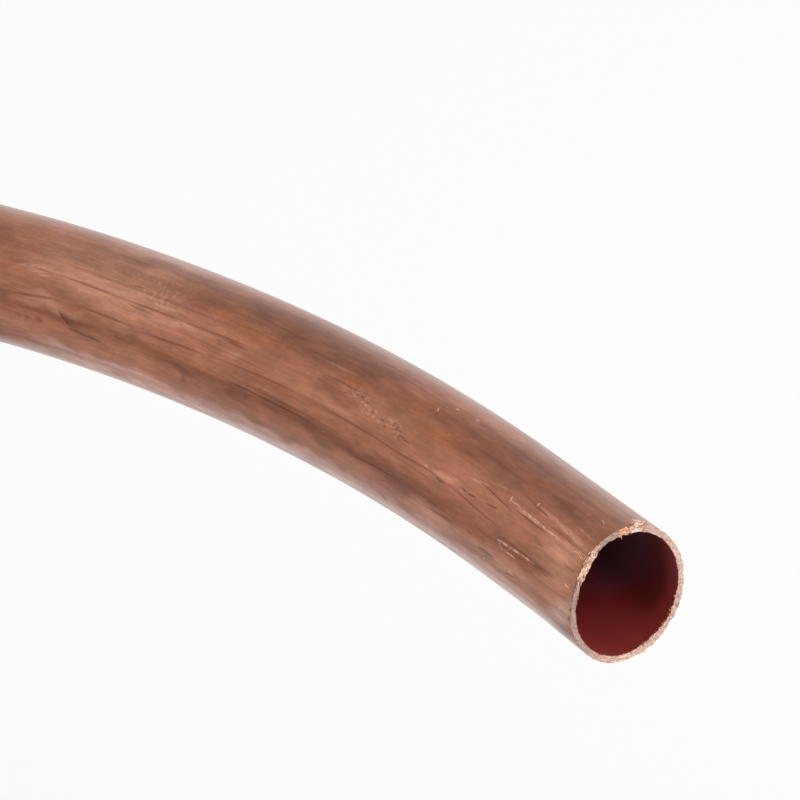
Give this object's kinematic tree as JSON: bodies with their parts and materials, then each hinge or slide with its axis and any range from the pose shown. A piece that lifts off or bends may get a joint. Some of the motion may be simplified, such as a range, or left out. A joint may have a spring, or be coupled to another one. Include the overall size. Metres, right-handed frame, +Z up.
{
  "type": "copper tube coil",
  "caption": "Coil of soft copper tube lying flat, with its outer half-turn bent up so that the sawn open end stands level and takes a pipe fitting",
  "frame": {"origin": "on the floor, under the middle of the box around the coil", "axes": "+Z is up from the floor, the free end points along -Y, and it stands on the +X side of the coil"},
  "size_m": [0.648, 0.6507, 0.1551],
  "materials": {
    "copper": "satin drawn copper with draw lines, scratches and light brown tarnish"
  },
  "bodies": {
    "root": {"copper_tube": "copper"}
  },
  "joints": []
}
